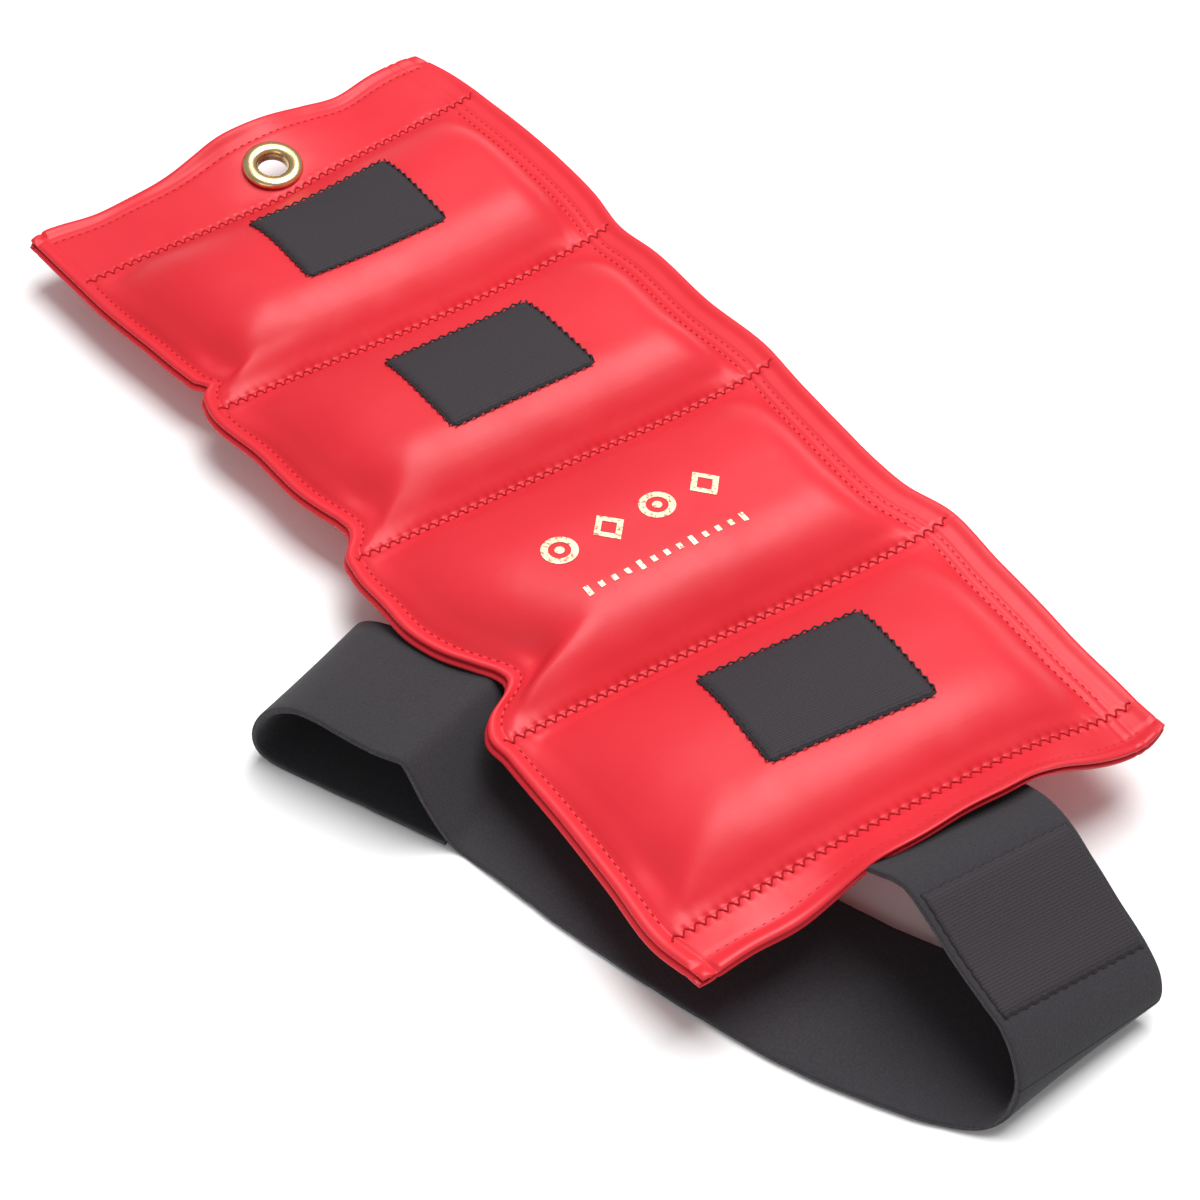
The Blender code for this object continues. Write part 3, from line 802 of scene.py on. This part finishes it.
def add_strap(looks):
    stations, lengths = resampled(strap_route(), STRAP_STEP)

    def nearest(place, start):
        point = np.array(place) if len(place) == 3 else loop_point(*place)
        return start + int(np.argmin(np.linalg.norm(stations[start:, :3] - point, axis=1)))

    low = 0
    for number, (body_a, body_b, fold, end_place, nodes) in enumerate(STRAP_PIECES, 1):
        last = end_place is None
        high = len(stations) - 1 if last else nearest(end_place, low)
        piece = strap_piece(f"strap_cloth_{number}", stations[low:high + 1], lengths[low:high + 1],
                            looks, last)
        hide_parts(*nodes)
        hinge = nearest(fold, low)
        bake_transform(piece)
        low = high
    add_strap_patch(stations, looks)


def add_strap_patch(stations, looks):
    """Hook tape on the outer face of the strap's upper run."""
    picked = stations[(stations[:, 0] > 201) & (stations[:, 2] > 23)]
    ahead, width, normal = strap_axes(picked)
    rows = len(picked)
    across = np.linspace(-1, 1, 70)
    teeth = 0.5 * triangle(across * STRAP_TEETH / PATCH_TOOTH)
    top = np.zeros((rows, len(across), 3))
    for i in range(rows):
        notch = 0.5 * triangle(i * STRAP_STEP / PATCH_TOOTH)
        beyond = (i == rows - 1) - (i == 0)
        for j, s in enumerate(across):
            rim = 0.9 if 0 < i < rows - 1 and abs(s) < 0.999 else 0.25
            top[i, j] = (picked[i, :3] + width[i] * s * (STRAP_TAPE + notch)
                         + ahead[i] * teeth[j] * beyond
                         + normal[i] * (STRAP_THICK / 2 + rim))
    low = top - TAPE_SINK * normal[:, None, :]
    uv = np.stack(np.meshgrid(np.arange(rows) * STRAP_STEP, across * STRAP_TAPE, indexing="ij"),
                  axis=-1)
    piece = skin_pair("strap_hook_tape", top, low, looks["hook"], uv)
    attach(piece, "strap_upper")
    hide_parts("strap_hook_patch")


# ---- stitches and patches
def stitch_row(name, points, length, gap, look, body):
    """Separate stitches along a line of points, as one mesh of small round-ended capsules."""
    points[:, 2] += STITCH_LIFT
    arc = run_of(points)
    verts, faces = [], []
    for begin in np.arange(0.5, arc[-1] - length, length + gap):
        at = np.linspace(begin, begin + length, 5)
        line = np.stack([np.interp(at, arc, points[:, k]) for k in range(3)], axis=1)
        add_thread(verts, faces, line, STITCH_RADIUS, sink=True)
    made = new_mesh(name, verts, faces, look)
    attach(made, body)


def add_thread(verts, faces, line, radius, sink=False):
    """Append one tube along a line. With sink its ends dive below the surface."""
    start = len(verts)
    count = len(line)
    for i, point in enumerate(line):
        ahead = line[min(i + 1, count - 1)] - line[max(i - 1, 0)]
        ahead = ahead / (np.linalg.norm(ahead) + 1e-9)
        side = np.cross(ahead, (0, 0, 1.0))
        side /= np.linalg.norm(side) + 1e-9
        top = np.cross(side, ahead)
        sunk = sink and i in (0, count - 1)
        end = 0.35 if sunk else 1.0
        drop = radius * 1.4 if sunk else 0.0
        for k in range(THREAD_SIDES):
            angle = 2 * math.pi * k / THREAD_SIDES
            up = math.sin(angle) * radius * end - drop
            verts.append(point + side * math.cos(angle) * radius * end + top * up)
    faces += grid_faces(count, THREAD_SIDES, start=start, ring=True, flip=True)
    faces.append([start + k for k in reversed(range(THREAD_SIDES))])
    faces.append([start + (count - 1) * THREAD_SIDES + k for k in range(THREAD_SIDES)])


class Skin:
    """Reads a pocket's front height anywhere, from its finished grid."""

    def __init__(self, grid):
        self.points = grid.reshape(-1, 3)
        self.tree = KDTree(len(self.points))
        for number, (x, y, _) in enumerate(self.points):
            self.tree.insert((x, y, 0.0), number)
        self.tree.balance()

    def height(self, x, y):
        found = self.tree.find_n((x, y, 0.0), 4)
        weights = [1 / (distance ** 2 + 0.05) for _, _, distance in found]
        heights = [self.points[number][2] for _, number, _ in found]
        return sum(w * h for w, h in zip(weights, heights)) / sum(weights)

    def lifted(self, places, lift):
        return [(x, y, self.height(x, y) + lift) for x, y in places]


class Patch:
    """Hook tape sewn to a pocket: serrated edge, thread zigzagging over it."""

    def __init__(self, pocket, skin):
        self.pocket = pocket
        self.skin = skin
        beside = 0.5 * (SEAM_LEAN[pocket] + SEAM_LEAN[pocket + 1])
        self.lean = math.atan(beside) + math.radians(PATCH_TURN[pocket])

    def on_skin(self, s, t, lift):
        """A point of the vinyl, s across the cuff and t along it from the patch's middle."""
        x = PATCH_X[self.pocket] + t * math.cos(self.lean) + s * math.sin(self.lean)
        y = PATCH_Y + s * math.cos(self.lean) - t * math.sin(self.lean)
        return self.skin.lifted([(x, y)], lift)[0]

    def add(self, looks):
        across = np.arange(-PATCH_WIDTH / 2, PATCH_WIDTH / 2 + 0.01, PATCH_WIDTH / PATCH_ROWS)
        along = np.arange(-PATCH_LENGTH / 2, PATCH_LENGTH / 2 + 0.01, PATCH_LENGTH / PATCH_COLUMNS)
        rows, columns = len(across), len(along)
        top = np.zeros((rows, columns, 3))
        for i, s in enumerate(across):
            for j, t in enumerate(along):
                out_s = abs(1.5 * triangle(t / PATCH_TOOTH) - 0.2) * (i in (0, rows - 1))
                out_t = abs(1.5 * triangle(s / PATCH_TOOTH) - 0.2) * (j in (0, columns - 1))
                from_edge = min(i, rows - 1 - i, j, columns - 1 - j, 2)
                top[i, j] = self.on_skin(s + math.copysign(1, s) * out_s,
                                         t + math.copysign(1, t) * out_t, PATCH_LIFTS[from_edge])
        low = top.copy()
        low[..., 2] -= PATCH_THICK
        uv = np.stack(np.meshgrid(across, along, indexing="ij")[::-1], axis=-1)
        piece = skin_pair(f"hook_tape_{self.pocket + 1}", top, low, looks["hook"], uv)
        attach(piece, f"pocket_{self.pocket + 1}")
        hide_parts(f"hook_patch_{self.pocket + 1}")
        self.add_zigzag(looks)

    def add_zigzag(self, looks):
        half_s, half_t = PATCH_WIDTH / 2 - 0.3, PATCH_LENGTH / 2 - 0.3
        corners = ((-half_s, -half_t), (half_s, -half_t), (half_s, half_t), (-half_s, half_t))
        verts, faces = [], []
        for (s0, t0), (s1, t1) in zip(corners, corners[1:] + corners[:1]):
            count = int(round(math.hypot(s1 - s0, t1 - t0) / (STITCH_PITCH / 2)))
            line = []
            for k in range(count + 1):
                s = s0 + (s1 - s0) * k / count
                t = t0 + (t1 - t0) * k / count
                swing, lift = (0.75, 0.15) if k % 2 else (-1.1, 1.15)
                if abs(s1 - s0) > abs(t1 - t0):
                    t += math.copysign(swing, t0)
                else:
                    s += math.copysign(swing, s0)
                line.append(np.array(self.on_skin(s, t, lift)))
            add_thread(verts, faces, np.array(line), 0.33)
        thread = new_mesh(f"patch_thread_{self.pocket + 1}", verts, faces, looks["thread_dark"])
        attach(thread, f"pocket_{self.pocket + 1}")


def add_mark(skin, looks):
    """Generic foil mark: a row of plain shapes with a row of ticks beside it."""
    verts, faces = [], []

    def blob(outline, centre):
        start, count = len(verts), len(outline)
        verts.extend(skin.lifted([*outline, centre], FOIL_LIFT))
        for k in range(count):
            faces.append((start + k, start + (k + 1) % count, start + count))

    def band(inner, outer):
        start, count = len(verts), len(inner)
        verts.extend(skin.lifted(inner + outer, FOIL_LIFT))
        for k in range(count):
            a, b = start + k, start + (k + 1) % count
            faces.append((a, a + count, b + count, b))

    def circle(x, y, radius, sides=40):
        return [(x + radius * math.cos(2 * math.pi * k / sides),
                 y + radius * math.sin(2 * math.pi * k / sides)) for k in range(sides)]

    def diamond(x, y, long, wide):
        return refine([(x + long, y), (x, y + wide), (x - long, y), (x, y - wide)], 6)

    for k, y in enumerate(SHAPES_Y):
        x = SHAPES_X + MARK_LEAN * y
        if k % 2 == 0:
            band(circle(x, y, 3.4), circle(x, y, 5.6))
            blob(circle(x, y, 1.5, 20), (x, y))
        else:
            band(diamond(x, y, 3.4, 3.0), diamond(x, y, 6.2, 5.4))
    for k in range(TICKS):
        y = TICKS_Y + k * TICK_GAP
        x = TICKS_X + MARK_LEAN * y
        half = (3.6 if k % 4 == 0 else 2.2) / 2
        box = [(x - half, y - TICK_HALF), (x + half, y - TICK_HALF), (x + half, y + TICK_HALF),
               (x - half, y + TICK_HALF)]
        blob(refine(box, 2), (x, y))
    mark = new_mesh("foil_mark", verts, faces, looks["foil"])
    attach(mark, "pocket_3")


def refine(corners, parts):
    """A closed outline with each side cut into equal parts."""
    made = []
    for (x0, y0), (x1, y1) in zip(corners, corners[1:] + corners[:1]):
        made += [(x0 + (x1 - x0) * k / parts, y0 + (y1 - y0) * k / parts) for k in range(parts)]
    return made


def add_grommet(looks):
    """Rolled brass eyelet and its washer, turned about an axis that leans with the header."""
    lean = Matrix.Rotation(math.radians(GROMMET_LEAN), 3, "Y")
    x, y = GROMMET
    centre = Vector((x, y, HEADER.middle(y, (seam_x(0, y) - x) / HEADER_LENGTH)))
    roll = [(5.3, -2.6), (5.3, 0.6)]
    roll += [(7.9 + 2.6 * math.cos(a), 0.7 + 1.7 * math.sin(a))
             for a in np.radians(np.arange(170, 9, -12))]
    roll += [(10.6, 0.4), (10.3, 0.15), (9.0, 0.0), (5.9, 0.0), (5.9, -2.6)]
    washer = [(6.1, -3.1), (10.2, -3.1), (10.6, -2.8), (10.6, -2.2), (10.2, -1.9), (6.1, -1.9)]
    for name, profile, node in (("brass_eyelet", roll, "grommet_eyelet"),
                                ("brass_washer", washer, "grommet_washer")):
        verts, faces = [], []
        count = len(profile)
        for k in range(GROMMET_SIDES):
            angle = 2 * math.pi * k / GROMMET_SIDES
            ahead = (k + 1) % GROMMET_SIDES * count
            for c, (r, h) in enumerate(profile):
                spot = Vector((r * math.cos(angle), r * math.sin(angle), h + GROMMET_RISE))
                verts.append(tuple(lean @ spot + centre))
                beside = (c + 1) % count
                faces.append((k * count + c, k * count + beside, ahead + beside, ahead + c))
        made = new_mesh(name, verts, faces, looks["brass"])
        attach(made, "header")
        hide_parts(node)


def pierced(name, front, back, look):
    """The header's skins with the grommet's hole left out of the grid."""
    made = skin_pair(name, front, back, look, walls="nfs")
    middle = placed(np.array((*GROMMET, 0.0)))
    shape = bmesh.new()
    shape.from_mesh(made.data)
    doomed = [v for v in shape.verts
              if math.hypot(v.co.x - middle[0], v.co.y - middle[1]) < HOLE_RADIUS * MM]
    bmesh.ops.delete(shape, geom=doomed, context="VERTS")
    shape.to_mesh(made.data)
    shape.free()
    made.data.shade_smooth()
    return made


# ---- the cuff
ROWS = 150
FINE_ROWS = 300  # along the seams
FLAP_ROWS = 80  # along the header's and tail's stitches


def add_cuff(looks):
    plan = edge_to_edge(ROWS)
    pockets = [Pocket(number) for number in range(len(CROWN))]
    skins = {}
    for pocket in pockets:
        pocket.settle(looks["vinyl"])
        n = pocket.number
        columns = pocket.columns()
        front = pocket.points(columns, plan, True)
        back = pocket.points(columns, plan, False)
        piece = skin_pair(f"pocket_skin_{n + 1}", front, back, looks["vinyl"], walls="nf")
        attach(piece, f"pocket_{n + 1}")
        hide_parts(f"front_cover_{n + 1}", f"back_cover_{n + 1}", f"shot_fill_{n + 1}")
        skins[n] = Skin(front)
        add_edge_stitches(pocket, columns, looks)
    add_flaps(plan, looks)
    add_seams(pockets, looks)
    for n in PATCH_X:
        Patch(n, skins[n]).add(looks)
    add_mark(skins[2], looks)


def add_edge_stitches(pocket, columns, looks):
    """The near hem's stitches and the far flange's two rows."""
    n = pocket.number + 1
    rows = [(f"hem_stitches_{n}", (1.0, 0.0, NEAR_HEM - 0.5, 0.0), 1.7, 1.1)]
    rows += [(f"flange_stitches_{n}_{number}", (0.0, 1.0, -row, 0.0), 1.8, 1.0)
             for number, row in enumerate(FLANGE_ROWS, 1)]
    for name, row, length, gap in rows:
        line = pocket.points(columns, Rows([row]), True)[0]
        stitch_row(name, line, length, gap, looks["thread_red"], f"pocket_{n}")


def add_flaps(plan, looks):
    for flap, name, body, nodes in (
            (HEADER, "header_skin", "header", ("header_front_sheet", "header_back_sheet")),
            (TAIL, "tail_skin", "tail", ("tail_front_sheet", "tail_back_sheet"))):
        columns = flap.columns()
        front = flap.points(columns, plan, True)
        back = flap.points(columns, plan, False)
        if flap is HEADER:
            piece = pierced(name, front[:, ::-1], back[:, ::-1], looks["vinyl"])
        else:
            piece = skin_pair(name, front, back, looks["vinyl"], walls="nfe")
        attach(piece, body)
        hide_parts(*nodes)
        spot = [(flap.length - flap.stitch, 0.0)]
        line = flap.points(spot, edge_to_edge(FLAP_ROWS), True)[len(HEM_ROLL):-len(FLANGE_ROLL), 0]
        stitch_row(f"{body}_stitches", line, 1.9, 1.0, looks["thread_red"], body)


def add_seams(pockets, looks):
    """Each cross seam: its own strip of skin, its bumps and its zigzag thread."""
    fine = edge_to_edge(FINE_ROWS)
    steps = np.linspace(0, SEAM_STRIP, 9)
    for seam in range(5):
        grids = {}
        for front in (True, False):
            if seam == 0:
                left = HEADER.points([(d, 0.0) for d in steps[::-1]], fine, front)
            else:
                left = pockets[seam - 1].points(pockets[seam - 1].span - steps[::-1], fine, front)
            if seam == 4:
                right = TAIL.points([(d, 0.0) for d in steps[1:]], fine, front)
            else:
                right = pockets[seam].points(steps[1:], fine, front)
            grids[front] = np.concatenate((left, right), axis=1)
        piece = skin_pair(f"seam_skin_{seam}", grids[True], grids[False], looks["vinyl"],
                          walls="nf")
        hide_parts(f"seam_{seam}")
        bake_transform(piece)
        thread = add_seam_thread(seam, Skin(grids[True]), looks)
        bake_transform(thread)


def add_seam_thread(seam, skin, looks):
    """The zigzag thread of one cross seam, laid in its groove."""
    middle = SEAM_X[seam]
    near = float(curve(NEAR_EDGE, middle)) + 3.0
    far = float(curve(FAR_EDGE, middle)) - 2.5
    y = np.arange(near, far, STITCH_PITCH / 6)
    x = seam_x(seam, y) + zigzag(y, seam)[0]
    line = np.array(skin.lifted(zip(x, y), 0.12))
    verts, faces = [], []
    add_thread(verts, faces, line, 0.3)
    made = new_mesh(f"seam_thread_{seam}", verts, faces, looks["thread_red"])
    return made


# ---- stage
def add_area(name, place, size, power):
    """A soft box that faces the middle of the cuff."""
    lamp = bpy.data.lights.new(name, "AREA")
    lamp.shape = "RECTANGLE"
    lamp.size, lamp.size_y = size
    lamp.energy = power
    thing = linked(name, lamp)
    thing.location = place
    thing.rotation_mode = "QUATERNION"
    thing.rotation_quaternion = (-Vector(place)).to_track_quat("-Z", "Y")


def add_stage():
    size = 6.0
    mesh = bpy.data.meshes.new("floor")
    mesh.from_pydata([(-size, -size, 0), (size, -size, 0), (size, size, 0), (-size, size, 0)], [],
                     [(0, 1, 2, 3)])
    mesh.materials.append(floor_look())
    floor = linked("floor", mesh)
    floor.location.z = -0.0004
    world = bpy.data.worlds.new("studio")
    world.use_nodes = True
    sky = world.node_tree.nodes["Background"]
    sky.inputs["Color"].default_value = (1, 1, 1, 1)
    sky.inputs["Strength"].default_value = 0.35
    bpy.context.scene.world = world
    add_area("key_softbox", (-0.12, 0.42, 1.40), (1.1, 1.1), 31)
    add_area("side_fill", (0.9, -1.2, 0.5), (1.2, 0.8), 5)


def add_camera():
    camera = bpy.data.cameras.new("camera")
    camera.lens = 77.1
    camera.sensor_width = 36.0
    thing = linked("camera", camera)
    azimuth, elevation, roll = (math.radians(angle) for angle in (55.99, 46.99, -0.31))
    thing.location = (0.45441, -0.28655, 0.56836)
    turn = Matrix.Rotation(azimuth, 4, "Z") @ Matrix.Rotation(math.pi / 2 - elevation, 4, "X")
    thing.rotation_euler = (turn @ Matrix.Rotation(roll, 4, "Z")).to_euler()
    bpy.context.scene.camera = thing


def main():
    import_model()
    add_camera()
    add_stage()
    looks = {
        "vinyl": vinyl_look(),
        "thread_red": thread_look("seam_thread", (0.46, 0.006, 0.012)),
        "thread_dark": thread_look("patch_thread", (0.030, 0.026, 0.030)),
        "hook": hook_look(),
        "strap": strap_look("strap_cloth", (0.029, 0.027, 0.031), (0.040, 0.037, 0.042)),
        # Cut edges: foam tone made lighter to paint the highlight along the strap's edges.
        "foam_and_edge_highlight": strap_look("strap_cut_edge_highlight", (0.045, 0.040, 0.046), (0.085, 0.077, 0.085)),
        "brass": brass_look(),
        "foil": foil_look(),
    }
    add_cuff(looks)
    add_grommet(looks)
    add_strap(looks)


bpy.context.scene.view_settings.view_transform = "Standard"
main()
